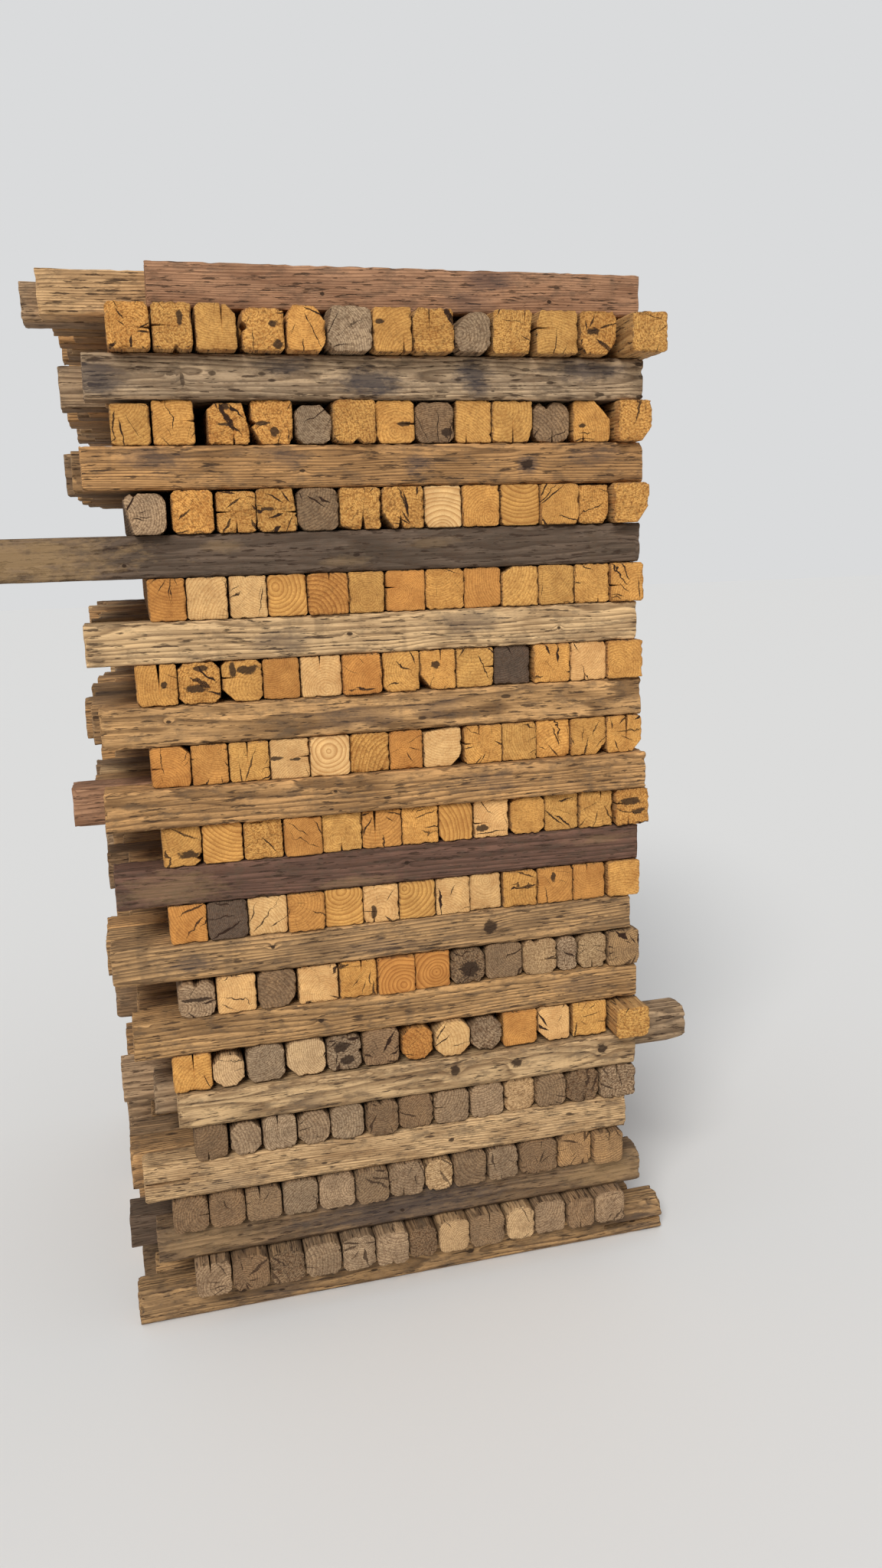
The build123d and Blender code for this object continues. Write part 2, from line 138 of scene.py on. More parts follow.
LOOKS: dict[Tone, Look] = {
    Tone.GOLDEN: Look(painted(228, 170, 92), painted(156, 96, 38), 0.65, 0.45, 0.02),
    Tone.PALE: Look(painted(236, 188, 124), painted(176, 116, 58), 0.60, 0.30, 0.03),
    Tone.ORANGE: Look(painted(214, 150, 78), painted(146, 84, 32), 0.65, 0.30, 0.00),
    Tone.HONEY: Look(painted(212, 162, 106), painted(106, 72, 38), 0.85, 0.45, 0.06),
    Tone.STRAW: Look(painted(214, 176, 128), painted(134, 98, 62), 0.80, 0.40, 0.08),
    Tone.TAN: Look(painted(196, 152, 102), painted(92, 66, 42), 0.90, 0.45, 0.12),
    Tone.BROWN: Look(painted(156, 124, 90), painted(78, 57, 39), 0.80, 0.60, 0.12),
    Tone.RED: Look(painted(182, 136, 102), painted(116, 74, 48), 0.70, 0.35, 0.03),
    Tone.WEATHERED: Look(painted(186, 155, 120), painted(98, 74, 52), 0.85, 0.65, 0.15),
    Tone.DARK: Look(painted(106, 86, 70), painted(50, 38, 30), 0.80, 0.45, 0.10),
    Tone.PURPLE: Look(painted(112, 82, 68), painted(56, 38, 32), 0.80, 0.45, 0.06),
}


@dataclass(frozen=True)
class Mark:
    """A stain, a knot or a nail hole on the side of a timber that faces the front.

    Attributes:
        across: Distance from the timber's left end, in metres.
        up: Height over the timber's lower edge, in metres.
        wide: Half the width, in metres.
        high: Half the height, in metres.
        strength: How strongly it shows, up to 1.
    """

    across: float
    up: float
    wide: float
    high: float
    strength: float


def spot(across: float, up: float, wide: float, high: float, strength: float = 0.9) -> Mark:
    """Returns a mark from a place and half sizes in millimetres."""
    return Mark(across / 1000, up / 1000, wide / 1000, high / 1000, strength)


@dataclass(frozen=True)
class CrosswiseLook:
    """How a crosswise course shows.

    Attributes:
        tones: The tones of its timbers, from the front.
        stains: The dark stains on the front timber. A strength below 0 makes a bare patch.
        knots: The knots and nail marks on the front timber.
        rough: How eroded the front timber is, from 0 to 1.
    """

    tones: str
    stains: tuple[Mark, ...] = ()
    knots: tuple[Mark, ...] = ()
    rough: float = 0.0


# The tones of each lengthwise course from the left. A capital letter is a roughly sawn end.
LENGTHWISE_TONES: dict[int, str] = {
    26: "GGgGgwgGwGgGG",
    24: "ggGGwGgbggbgG",
    22: "wGGGbGGpgggGG",
    20: "oppgOgogogggg",
    18: "gGgopogggdgpg",
    16: "oogppGopggggg",
    14: "ggGogoggpgggG",
    12: "odpogpgppgoog",
    10: "wpbpgooBbSWSt",
    8: "gswsWbOpWopgG",
    6: "bwwwwbbwwSbBW",
    4: "bbbwwbwSbwbtt",
    2: "wbBwwwBsbswbw",
}

# The looks of each crosswise course.
CROSSWISE_LOOKS: dict[int, CrosswiseLook] = {
    27: CrosswiseLook("rswtthtbtbsht", stains=(
        spot(560, 10, 50, 30, 0.35),
        spot(610, 60, 50, 22, 0.45),
    ), knots=(spot(300, 28, 4, 3), spot(720, 24, 4, 3))),
    25: CrosswiseLook("wswhbtttsttbt", stains=(
        spot(20, 30, 60, 34, 0.60),
        spot(340, 56, 60, 20, 0.60),
        spot(490, 30, 65, 28, 0.80),
        spot(680, 38, 40, 36, 0.75),
        spot(900, 52, 85, 22, 0.65),
        spot(1120, 44, 80, 30, 0.65),
    ), knots=(
        spot(145, 40, 7, 3, 0.7),
        spot(165, 30, 4, 10, 0.7),
        spot(215, 42, 6, 4, 0.7),
        spot(300, 42, 6, 3, 0.7),
        spot(780, 52, 10, 3, 0.7),
    ), rough=0.3),
    23: CrosswiseLook("htbtwtthttbtt", stains=(
        spot(120, 52, 60, 26, 0.50),
        spot(345, 52, 50, 20, 0.45),
        spot(590, 40, 36, 24, 0.62),
        spot(800, 34, 26, 22, 0.60),
        spot(930, 50, 60, 24, 0.35),
    ), knots=(spot(800, 34, 12, 10), spot(380, 30, 5, 3))),
    21: CrosswiseLook("dbtbtbtbttbtb", stains=(
        spot(20, 40, 260, 60, -0.55),
        spot(420, 52, 40, 14, -0.25),
        spot(640, 20, 50, 12, -0.22),
        spot(800, 50, 60, 12, -0.18),
    ), knots=(spot(250, 24, 4, 3), spot(660, 30, 6, 3)), rough=0.2),
    19: CrosswiseLook("shtwtthttsttb", stains=(
        spot(350, 30, 60, 26, 0.40),
        spot(700, 50, 80, 26, 0.45),
    ), knots=(spot(470, 38, 5, 3), spot(880, 30, 4, 4))),
    17: CrosswiseLook("httbtthttwtts", stains=(
        spot(460, 36, 110, 28, 0.35),
        spot(620, 40, 60, 24, 0.35),
    ), knots=(spot(120, 46, 5, 3),), rough=0.5),
    15: CrosswiseLook("hrtsbtthttbtt", stains=(
        spot(720, 40, 70, 24, 0.30),
    ), knots=(spot(420, 46, 4, 3),), rough=0.5),
    13: CrosswiseLook("utbttwtthttbt", stains=(
        spot(100, 30, 100, 40, -0.25),
        spot(450, 12, 90, 12, -0.22),
        spot(950, 50, 70, 12, -0.20),
    ), knots=(spot(550, 40, 5, 4),), rough=0.4),
    11: CrosswiseLook("tthtbttsttwtt", stains=(
        spot(150, 34, 50, 22, 0.50),
        spot(500, 26, 80, 18, 0.30),
    ), knots=(spot(735, 40, 16, 13), spot(300, 50, 4, 4)), rough=0.3),
    9: CrosswiseLook("httbttwtthtst", stains=(
        spot(900, 40, 70, 24, 0.25),
    ), knots=(spot(360, 36, 6, 4),), rough=0.3),
    7: CrosswiseLook("swwtbtttthttb", stains=(
        spot(250, 30, 60, 22, 0.25),
    ), knots=(
        spot(555, 44, 11, 10),
        spot(685, 42, 13, 11),
        spot(875, 44, 11, 10),
    ), rough=0.6),
    5: CrosswiseLook("stbtwttbttttw", stains=(
        spot(160, 20, 80, 20, 0.30),
    ), knots=(spot(620, 36, 6, 4),), rough=0.9),
    3: CrosswiseLook("bdtbtwbtbttbt", stains=(
        spot(100, 40, 120, 50, -0.25),
        spot(500, 40, 240, 60, 0.50),
        spot(960, 40, 110, 50, -0.45),
    ), knots=(spot(500, 30, 6, 4),), rough=0.5),
    1: CrosswiseLook("ttbtbttwtttbt", stains=(
        spot(300, 30, 90, 26, 0.35),
        spot(1100, 30, 70, 40, 0.30),
    ), knots=(spot(700, 36, 8, 6),), rough=0.8),
}
TOP_COURSE = max(CROSSWISE_LOOKS)

# The ends with wide dark rings, by course and by the timber's place from the left.
BANDED: dict[int, tuple[int, ...]] = {
    22: (7, 9), 20: (3, 4), 16: (4, 5), 14: (1, 7), 12: (4, 6), 10: (5, 6),
}

# The holes and knots in the near ends, by course and by the timber's place from the left.
END_MARKS: dict[int, dict[int, tuple[Mark, ...]]] = {
    26: {
        1: (spot(46, 50, 5, 14),),
        3: (spot(52, 44, 8, 6), spot(60, 10, 9, 7)),
        6: (spot(12, 50, 7, 4),),
        11: (spot(24, 40, 14, 6),),
    },
    24: {
        2: (spot(30, 64, 9, 6), spot(30, 34, 14, 3)),
        3: (spot(40, 22, 10, 8), spot(20, 36, 12, 4)),
        6: (spot(52, 34, 14, 4),),
        7: (spot(58, 18, 10, 8),),
        11: (spot(18, 30, 7, 4),),
    },
    22: {3: (spot(20, 40, 14, 3),)},
    18: {
        0: (spot(50, 38, 5, 7),),
        1: (spot(30, 28, 19, 7), spot(40, 64, 14, 5)),
        2: (spot(44, 58, 22, 8), spot(20, 58, 6, 15)),
        7: (spot(30, 46, 9, 7),),
    },
    16: {3: (spot(10, 40, 12, 4), spot(48, 36, 10, 3))},
    14: {
        0: (spot(46, 22, 20, 8),),
        8: (spot(16, 20, 15, 7),),
        12: (spot(30, 50, 24, 8), spot(50, 28, 14, 6)),
    },
    12: {5: (spot(20, 20, 6, 15),), 10: (spot(34, 56, 5, 12),)},
    10: {0: (spot(34, 36, 30, 4),), 7: (spot(40, 30, 20, 18),)},
    8: {4: (spot(28, 50, 18, 10), spot(40, 20, 16, 10))},
}


class Value:
    """A number socket of a material that takes part in Python arithmetic."""

    def __init__(self, make: "Maker", socket: Socket) -> None:
        """Keeps the socket and the maker of new nodes."""
        self.make = make
        self.socket = socket

    def maths(self, operation: str, *others: Number) -> "Value":
        """Returns the result of one Math node.

        Args:
            operation: The name of the operation.
            others: The values that follow this one, as numbers or Values.

        Returns:
            The new value.
        """
        inputs = dict(enumerate((self, *others)))
        made = self.make.node("ShaderNodeMath", {"operation": operation}, inputs)
        return Value(self.make, made.outputs[0])

    def __add__(self, other: Number) -> "Value":
        """Returns the sum."""
        return self.maths("ADD", other)

    __radd__ = __add__

    def __sub__(self, other: Number) -> "Value":
        """Returns the difference."""
        return self.maths("SUBTRACT", other)

    def __rsub__(self, other: float) -> "Value":
        """Returns the difference from a number."""
        return self.maths("MULTIPLY", -1.0) + other

    def __mul__(self, other: Number) -> "Value":
        """Returns the product."""
        return self.maths("MULTIPLY", other)

    __rmul__ = __mul__

    def __abs__(self) -> "Value":
        """Returns the size without its sign."""
        return self.maths("ABSOLUTE")

    def fraction(self) -> "Value":
        """Returns what is left over whole numbers."""
        return self.maths("FRACT")

    def diagonal(self, other: "Value") -> "Value":
        """Returns the distance that this value and another give as two sides of a right angle."""
        return (self * self + other * other).maths("SQRT")

    def clamped(self) -> "Value":
        """Returns the value held between 0 and 1."""
        return self.maths("MAXIMUM", 0.0).maths("MINIMUM", 1.0)

    def at_least(self, other: Number) -> "Value":
        """Returns the greater value."""
        return self.maths("MAXIMUM", other)

    def rising(self, low: float, high: float) -> "Value":
        """Returns 0 under low and 1 over high, with a straight rise between them."""
        return ((self - low) * (1.0 / (high - low))).clamped()

    def falling(self, low: float, high: float) -> "Value":
        """Returns 1 under low and 0 over high, with a straight fall between them."""
        return 1.0 - self.rising(low, high)


class Maker:
    """Adds nodes to the tree of a material or of the world."""

    def __init__(self, owner: bpy.types.Material | bpy.types.World) -> None:
        """Empties the node tree of its owner."""
        owner.use_nodes = True
        self.owner = owner
        self.tree = owner.node_tree
        self.tree.nodes.clear()

    def node(self, kind: str, settings: dict[str, Any], inputs: dict[str | int, Any]) -> bpy.types.Node:
        """Adds a node.

        Args:
            kind: The node's type.
            settings: Properties of the node, set before its sockets are used.
            inputs: Numbers, colours, sockets or Values, by the name or the number of the input.

        Returns:
            The new node.
        """
        made = self.tree.nodes.new(kind)
        for key, value in settings.items():
            setattr(made, key, value)
        for key, value in inputs.items():
            source = value.socket if isinstance(value, Value) else value
            if isinstance(source, Socket):
                self.tree.links.new(source, made.inputs[key])
            else:
                made.inputs[key].default_value = source
        return made

    def attribute(self, name: str) -> bpy.types.Node:
        """Returns a node that reads one of the mesh's attributes."""
        return self.node("ShaderNodeAttribute", {"attribute_name": name}, {})

    def parts(self, vector: Socket) -> tuple[Value, Value, Value]:
        """Returns the three numbers of a vector."""
        split = self.node("ShaderNodeSeparateXYZ", {}, {"Vector": vector})
        return tuple(Value(self, socket) for socket in split.outputs)

    def joined(self, x: Number, y: Number, z: Number) -> Socket:
        """Returns a vector of three numbers."""
        return self.node("ShaderNodeCombineXYZ", {}, {"X": x, "Y": y, "Z": z}).outputs[0]

    def cloud(self, vector: Socket, layers: float = 2.0, roughness: float = 0.5) -> Value:
        """Returns soft noise about one half.

        Args:
            vector: The place that the noise is read at.
            layers: How many finer layers it has.
            roughness: How strong those layers are.

        Returns:
            The noise, from 0 to 1.
        """
        inputs = {"Vector": vector, "Scale": 1.0, "Detail": layers, "Roughness": roughness}
        return Value(self, self.node("ShaderNodeTexNoise", {"noise_dimensions": "3D"}, inputs).outputs[0])

    def flecks(self, vector: Socket, size: float, share: float) -> Value:
        """Returns small spots that are scattered over a surface.

        Args:
            vector: The place, with about one spot in each unit of it.
            size: The radius of the largest spot, in the same units.
            share: How many of the spots are kept.

        Returns:
            The spots, from 0 to 1.
        """
        made = self.node("ShaderNodeTexVoronoi", {"feature": "F1"}, {"Vector": vector, "Scale": 1.0})
        red, green, _ = self.parts(made.outputs["Color"])
        radius = (green * 0.7 + 0.3) * size
        inside = ((radius - Value(self, made.outputs["Distance"])) * (4.0 / size)).clamped()
        return inside * red.falling(share - 0.01, share + 0.01)

    def chance(self, number: Value) -> Value:
        """Returns a random value from 0 to 1 that belongs to a number."""
        made = self.node("ShaderNodeTexWhiteNoise", {"noise_dimensions": "1D"}, {"W": number})
        return Value(self, made.outputs["Value"])

    def mixed(self, share: Number, first: Any, second: Any, way: str = "MIX") -> Socket:
        """Returns a mixture of two colours.

        Args:
            share: How much of the second colour there is.
            first: The first colour or its socket.
            second: The second colour or its socket.
            way: The blend type.

        Returns:
            The socket of the mixed colour.
        """
        settings = {"data_type": "RGBA", "blend_type": way, "clamp_factor": True}
        return self.node("ShaderNodeMix", settings, {0: share, 6: first, 7: second}).outputs[2]


# A colour or its socket, and before it the share of it that shows.
Coat = tuple[Value, Any]


@dataclass(frozen=True)
class Grain:
    """Noise in the wood, mostly finer across a timber than along it.

    Attributes:
        across: Waves in a metre over the width.
        up: Waves in a metre over the height.
        along: Waves in a metre over the length.
        shift: How far the noise moves from one timber to the next.
        layers: How many finer layers it has.
        roughness: How strong those layers are.
    """

    across: float
    up: float
    along: float
    shift: float = 1.0
    layers: float = 2.0
    roughness: float = 0.5


# The noises of the wood. Sway, bands and uneven rings have places of their own in WoodShader.
RING_DRIFT = Grain(14.0, 14.0, 2.2, shift=9.0)
FIBRE = Grain(420.0, 420.0, 9.0, shift=3.0, roughness=0.6)
PIT = Grain(190.0, 190.0, 60.0, shift=4.0, layers=3.0, roughness=0.65)
BLOTCH = Grain(26.0, 26.0, 7.0, shift=6.0, layers=3.0, roughness=0.6)
DRY_CHECK = Grain(210.0, 210.0, 26.0, shift=2.0, layers=3.0, roughness=0.6)
GRIME = Grain(56.0, 56.0, 24.0, shift=5.0, layers=4.0, roughness=0.7)
SAW_MARK = Grain(240.0, 300.0, 60.0, shift=4.0, roughness=0.6)
CRACK_WANDER = Grain(55.0, 55.0, 12.0)
STAIN_EDGE = Grain(40.0, 60.0, 26.0, layers=4.0, roughness=0.7)
KNOT_EDGE = Grain(110.0, 110.0, 70.0, layers=3.0, roughness=0.6)
FLECK_CELL = Grain(34.0, 34.0, 13.0, shift=8.0)

# Drying cracks, in metres: how far from the heart they start at most, their least length and how much
# longer they may be, and half the width of the widest.
CRACK_START = 0.060
CRACK_LENGTH = 0.018
CRACK_LENGTHENING = 0.055
WIDE_CRACK = 0.0024
FINE_CRACK = 0.0016

# What lies over the clean colour of the wood. PALER multiplies it.
LATE_WOOD_BROWN = painted(66, 46, 30)
GRIME_BROWN = painted(84, 70, 56)
BAND_BROWN = painted(96, 78, 60)
PIT_BROWN = painted(88, 54, 26)
CHECK_BROWN = painted(62, 44, 31)
EDGE_BROWN = painted(86, 62, 40)
STAIN_GREY = painted(58, 54, 58)
BARE_TAN = painted(176, 142, 98)
KNOT_BROWN = painted(50, 34, 22)
FLECK_BROWN = painted(54, 38, 26)
CRACK_BROWN = painted(50, 29, 15)
PALER = (1.30, 1.28, 1.22, 1.0)


@dataclass(frozen=True)
class TimberWood:
    """Solid wood, the same through a timber, so that its ends and sides agree.

    Attributes:
        name: The name of the material.
        ring_width: Least distance between growth rings, in metres.
        grime: How much dirt lies on its long sides.
        pits: How deep the rough sawn surface looks.
        waviness: How far its rings stray from a circle, in metres.
        cracks: How dark the drying cracks in its ends are.
        grey: The colour that rain and sun turn it to.
        slot: The record's slot for it.
        relief: How high its bumps may be, in metres.
        sheen: How much light it reflects.
    """

    name: str
    ring_width: float
    grime: float
    pits: float
    waviness: float
    cracks: float
    grey: Colour
    slot: str
    relief: float = 0.0018
    sheen: float = 0.25

    def make(self) -> bpy.types.Material:
        """Returns the new material."""
        return WoodShader(self).surface()


SIDE_GRAIN = TimberWood("side_grain", ring_width=0.0040, grime=0.45, pits=0.70, waviness=0.030,
                        cracks=0.7, grey=painted(152, 131, 104), slot="long_sides")
END_GRAIN = TimberWood("end_grain", ring_width=0.0034, grime=0.30, pits=0.85, waviness=0.018,
                       cracks=1.0, grey=painted(150, 131, 106), slot="sawn_ends")
WEATHERED_GRAIN = TimberWood("weathered_grain", ring_width=0.0034, grime=0.50, pits=0.95, waviness=0.018,
                             cracks=0.8, grey=painted(146, 127, 102), slot="weathered_ends")


class WoodShader:
    """The nodes of one kind of wood, which read what every timber's mesh says of it."""

    def __init__(self, finish: TimberWood) -> None:
        """Reads the attributes, and makes the noises that several layers share.

        Args:
            finish: The kind of wood.
        """
        make = Maker(bpy.data.materials.new(finish.name))
        self.finish = finish
        self.make = make
        self.across, self.up, self.along = self.read("wood")
        tone = make.attribute("tone")
        self.tone = tone.outputs["Color"]
        self.splits = Value(make, tone.outputs["Alpha"])
        ring_tone = make.attribute("ring_tone")
        self.ring_tone = ring_tone.outputs["Color"]
        self.density = Value(make, ring_tone.outputs["Alpha"])
        self.contrast, self.speckle, self.age = self.read("traits")
        self.end, self.rim, self.seed = self.read("place")
        self.side = 1.0 - self.end
        knot_x, knot_y, self.knot = self.read("knot")
        self.knot_far = knot_x.diagonal(knot_y)
        self.pale = make.mixed(1.0, self.tone, PALER, "MULTIPLY")
        self.fibre = self.noise(FIBRE)
        self.pit = self.noise(PIT)
        self.blotch = self.noise(BLOTCH)
        self.pits = self.pit.falling(0.36, 0.49) * self.speckle
        self.checks = self.noise(DRY_CHECK).rising(0.59, 0.65) * self.side
        self.late = self.rings()

    def read(self, attribute: str) -> tuple[Value, Value, Value]:
        """Returns the three numbers of one of the mesh's attributes."""
        return self.make.parts(self.make.attribute(attribute).outputs["Vector"])

    def place(self, grain: Grain) -> Socket:
        """Returns the place in the timber, counted in the grain's waves."""
        along = self.along * grain.along + self.seed * grain.shift
        return self.make.joined(self.across * grain.across, self.up * grain.up, along)

    def noise(self, grain: Grain) -> Value:
        """Returns the noise of a grain, from 0 to 1."""
        return self.make.cloud(self.place(grain), grain.layers, grain.roughness)

    def rings(self) -> Value:
        """Returns the dark late wood of the growth rings, from 0 to 1."""
        make = self.make
        swaying = make.joined(self.up * 11.0, self.along * 1.7, self.across * 11.0 + self.seed * 5.0)
        ring_x = self.across + (self.noise(RING_DRIFT) - 0.5) * self.finish.waviness
        ring_y = self.up + (make.cloud(swaying) - 0.5) * self.finish.waviness
        far = ring_x.diagonal(ring_y)
        uneven = make.cloud(make.joined(far * 40.0, self.seed * 7.0, 0.0), layers=1.0)
        pull = self.knot_far.falling(0.0, 4.0) * self.knot
        turns = far * self.density * (1.0 / self.finish.ring_width) + uneven * 2.2 + pull * pull * 1.5
        turn = turns.fraction()
        return turn * turn * turn.falling(0.86, 1.0)

    def heart_cracks(self, seed: Value, wander: Value, lines: float, widest: Value) -> Value:
        """Returns drying cracks of an end, which run straight out from the heart.

        Args:
            seed: A number of the timber's own.
            wander: Soft noise that bends the cracks a little.
            lines: Into how many directions they may run.
            widest: Half the width of the widest crack, in metres.

        Returns:
            The cracks, from 0 to 1.
        """
        far = self.across.diagonal(self.up)
        angle = self.up.maths("ARCTAN2", self.across)
        turn = angle * (lines / math.tau) + seed * 0.37 + (wander - 0.5) * 0.5
        line = turn.maths("FLOOR")
        kept = self.make.chance(line * 3.1 + seed)
        start = self.make.chance(line * 7.7 + seed * 1.3) * CRACK_START
        reach = self.make.chance(line * 5.3 + seed * 2.1) * CRACK_LENGTHENING + CRACK_LENGTH
        apart = abs(turn.fraction() - 0.5) * (math.tau / lines) * far
        tapered = ((far - start) * 90.0).clamped() * ((start + reach - far) * 45.0).clamped()
        width = tapered * kept.rising(0.20, 0.80) * (wander * 1.4 + 0.3) * widest
        return ((width - apart) * 1800.0).clamped()

    def cracks(self) -> Value:
        """Returns the wide and the fine drying cracks of an end together."""
        wander = self.noise(CRACK_WANDER)
        wide = self.heart_cracks(self.seed, wander, 8.0, self.splits * WIDE_CRACK)
        fine = self.heart_cracks(self.seed * 1.7, wander, 15.0, self.splits * FINE_CRACK)
        return wide.at_least(fine) * self.end * self.finish.cracks

    def flecks(self) -> Value:
        """Returns the nail marks and small knots that are scattered over the long sides."""
        spots = self.make.flecks(self.place(FLECK_CELL), size=0.15, share=0.50)
        return spots * self.side * self.speckle.rising(0.20, 0.75)

    def grown(self) -> Iterator[Coat]:
        """Yields the coats of the clean wood, patches, fibres and rings, and a painted highlight along the
        arrises, which also stands for paler worn wood.
        """
        yield self.blotch.rising(0.46, 0.70) * (0.65 - self.end * 0.25), self.ring_tone
        yield self.blotch.falling(0.30, 0.48) * (0.70 - self.end * 0.25), self.pale
        yield self.fibre.rising(0.50, 0.72) * (0.62 - self.end * 0.42), self.ring_tone
        yield self.fibre.falling(0.28, 0.46) * self.side * 0.65, self.pale
        # Painted highlight along the long edges of the sides, partly paler worn wood.
        yield self.rim.rising(0.55, 1.0) * self.side * 0.35, self.pale
        yield self.late * self.contrast, self.ring_tone
        yield self.late * self.contrast * self.side * 0.60, LATE_WOOD_BROWN

    def soiled(self) -> Iterator[Coat]:
        """Yields the coats that rain, dirt and the saw leave, and the darker rim along the edges."""
        yield self.age * (0.25 + self.blotch.rising(0.35, 0.65) * 0.55), self.finish.grey
        dirty = self.noise(GRIME).rising(0.51, 0.63) * (self.finish.grime + self.speckle * 0.25) * self.side
        yield dirty * 0.75, GRIME_BROWN
        banded = self.make.joined(self.along * 26.0 + self.seed, self.across * 3.0, self.up * 3.0)
        yield self.make.cloud(banded).rising(0.60, 0.70) * self.side * 0.30, BAND_BROWN
        sawn = self.noise(SAW_MARK).rising(0.49, 0.57) * self.speckle * self.end
        yield sawn * 0.80, self.ring_tone
        yield self.pits * (0.25 + self.end * 0.35), PIT_BROWN
        yield self.checks * 0.85, CHECK_BROWN
        # Darkens the wood towards the edges, most on the ends.
        darker_rim = (self.rim * (self.pit * 0.9 + 0.25)).rising(0.40, 0.95)
        yield darker_rim * (self.end * 0.40 + 0.15), EDGE_BROWN

    def stained(self) -> Iterator[Coat]:
        """Yields the coats of the stains and of the bare patches."""
        stain_x, stain_y, strength = self.read("stain")
        here = (stain_x.diagonal(stain_y) + (self.noise(STAIN_EDGE) - 0.5) * 2.2).falling(0.40, 1.05)
        yield here * strength.at_least(0.0), STAIN_GREY
        yield here * (strength * -1.0).at_least(0.0), BARE_TAN

    def surface(self) -> bpy.types.Material:
        """Joins the layers.

        Returns:
            The finished material.
        """
        cracks = self.cracks()
        flecks = self.flecks()
        ragged = (self.noise(KNOT_EDGE) - 0.5) * 1.8
        knots = (self.knot_far + ragged).falling(0.80, 1.10) * self.knot
        marks = ((knots, KNOT_BROWN), (flecks * 0.85, FLECK_BROWN), (cracks, CRACK_BROWN))
        wood = self.tone
        for share, colour in (*self.grown(), *self.soiled(), *self.stained(), *marks):
            wood = self.make.mixed(share, wood, colour)
        raised = self.fibre * 0.45 + self.pit * (self.speckle * 0.9 + 0.25)
        height = (raised - self.late * self.contrast * 0.35 - self.checks * 0.9
                  - cracks * 1.4 - knots * 0.5 - flecks * 0.6)
        bump = self.make.node("ShaderNodeBump", {}, {
            "Strength": self.finish.pits,
            "Distance": self.finish.relief,
            "Height": height,
        })
        surface = self.make.node("ShaderNodeBsdfPrincipled", {}, {
            "Base Color": wood,
            "Roughness": (0.86 - self.late * 0.10 + self.pits * 0.08).clamped(),
            "Normal": bump.outputs[0],
            "Specular IOR Level": self.finish.sheen,
        })
        self.make.node("ShaderNodeOutputMaterial", {}, {"Surface": surface.outputs[0]})
        return self.make.owner


@dataclass(frozen=True)
class Slicing:
    """How finely a timber is divided, in metres from its ends and as counts over its section.

    Attributes:
        near: Places of the cuts behind the near end.
        far: Places of the cuts before the far end.
        middle: Distance between the cuts in the middle.
        across: Number of strips over the width and the height.
    """

    near: tuple[float, ...]
    far: tuple[float, ...]
    middle: float
    across: int


EDGE_CUTS = (0.002, 0.006, 0.012)
NEAR_CUTS = (*EDGE_CUTS, 0.024, 0.045, 0.090)
FAR_CUTS = (*EDGE_CUTS, 0.030)
FEW_CUTS = (0.003, 0.010, 0.030)

SHOWN_END = Slicing(NEAR_CUTS, FAR_CUTS, middle=0.200, across=16)
SHOWN_SIDE = Slicing(EDGE_CUTS, EDGE_CUTS, middle=0.014, across=9)
OUTERMOST = Slicing(NEAR_CUTS, FAR_CUTS, middle=0.020, across=12)
TUCKED_IN = Slicing(FEW_CUTS, FEW_CUTS, middle=0.160, across=10)

# Angles between two faces, in radians: below them faces are one plane, and above them an edge is
# bevelled or drawn sharp.
FLAT = 0.01
SHARP = 0.35
CREASED = 0.60

# How near points are, in metres, when they are welded or lie on a cut.
WELD = 0.00001
ON_CUT = 0.00002

# How far a face's normal points along the timber if it is an end, and along Y if it is in front.
END_NORMAL = 0.6
FRONT_NORMAL = -0.5


@dataclass(frozen=True)
class Wear:
    """How saw, weather and handling change a timber. Lengths are in metres.

    Attributes:
        bevel: Width of the flat on every sharp edge.
        edge_reach: How far from an edge the wear reaches.
        least: How far even a sound surface is worn.
        lift: What is added to the bumps, so that more of an edge is worn.
        smooth: How deep the wear goes at an edge of smooth wood.
        coarse: How much deeper it goes at an edge of coarse wood.
        core: The share of half the width that stays as it is.
        end_skin: How near to an end a point belongs to the sawn face.
        relief: How uneven the sawn face is.
        relief_lift: What is added to the bumps of the sawn face.
        torn: How deep the sawn face is torn at its edges.
        rim: How far from an edge the darker rim and the painted highlight along the arris reach.
        sound_round: Radius of the long edges of sound wood.
        rough_round: How much larger it is where the end is roughly sawn.
        old_round: Radius of the long edges of old wood.
        old_end_round: How much larger it may be at the very end.
        old_end_reach: How far from the end that fades out.
        bumps: Waves in a metre of the wear along the edges.
        fine_bumps: Waves in a metre of its finer part.
        fine_share: How strong the finer part is.
        end_bumps: Waves in a metre over the sawn face.
    """

    bevel: float = 0.0012
    edge_reach: float = 0.011
    least: float = 0.0003
    lift: float = 0.12
    smooth: float = 0.0024
    coarse: float = 0.0042
    core: float = 0.55
    end_skin: float = 0.004
    relief: float = 0.0012
    relief_lift: float = 0.6
    torn: float = 0.0050
    rim: float = 0.012
    sound_round: float = 0.003
    rough_round: float = 0.004
    old_round: float = 0.009
    old_end_round: float = 0.013
    old_end_reach: float = 0.080
    bumps: float = 75.0
    fine_bumps: float = 190.0
    fine_share: float = 0.6
    end_bumps: float = 60.0


WEAR = Wear()

# How much coarser or finer a surface is than its tone alone says.
ROUGH_SAWING = 0.40
CLEAN_SAWING = 0.25
ERODED = 0.60

# Steps between the seeds of courses and of timbers, and how far a seed moves the noise.
COURSE_SEED = 31
TIMBER_SEED = 7
BUMP_SHIFT = (0.37, 0.61, 0.13)
GRAIN_SHIFT = 0.61
GRAIN_SHIFTS = 97

# The bounds of what one timber may differ by from the next.
HEART_FROM_MIDDLE = (0.012, 0.085)
HEART_SLOPE = (-0.02, 0.02)
SHADES = (0.90, 1.08)
OLD_SHADES = (0.82, 1.18)
WARMTHS = (0.96, 1.04)
CRACK_WIDTHS = (0.0, 0.7, 0.9, 1.2)
ROUGH_CRACKS = 0.6
RING_DENSITIES = (0.50, 1.0)
BANDED_DENSITY = 0.42

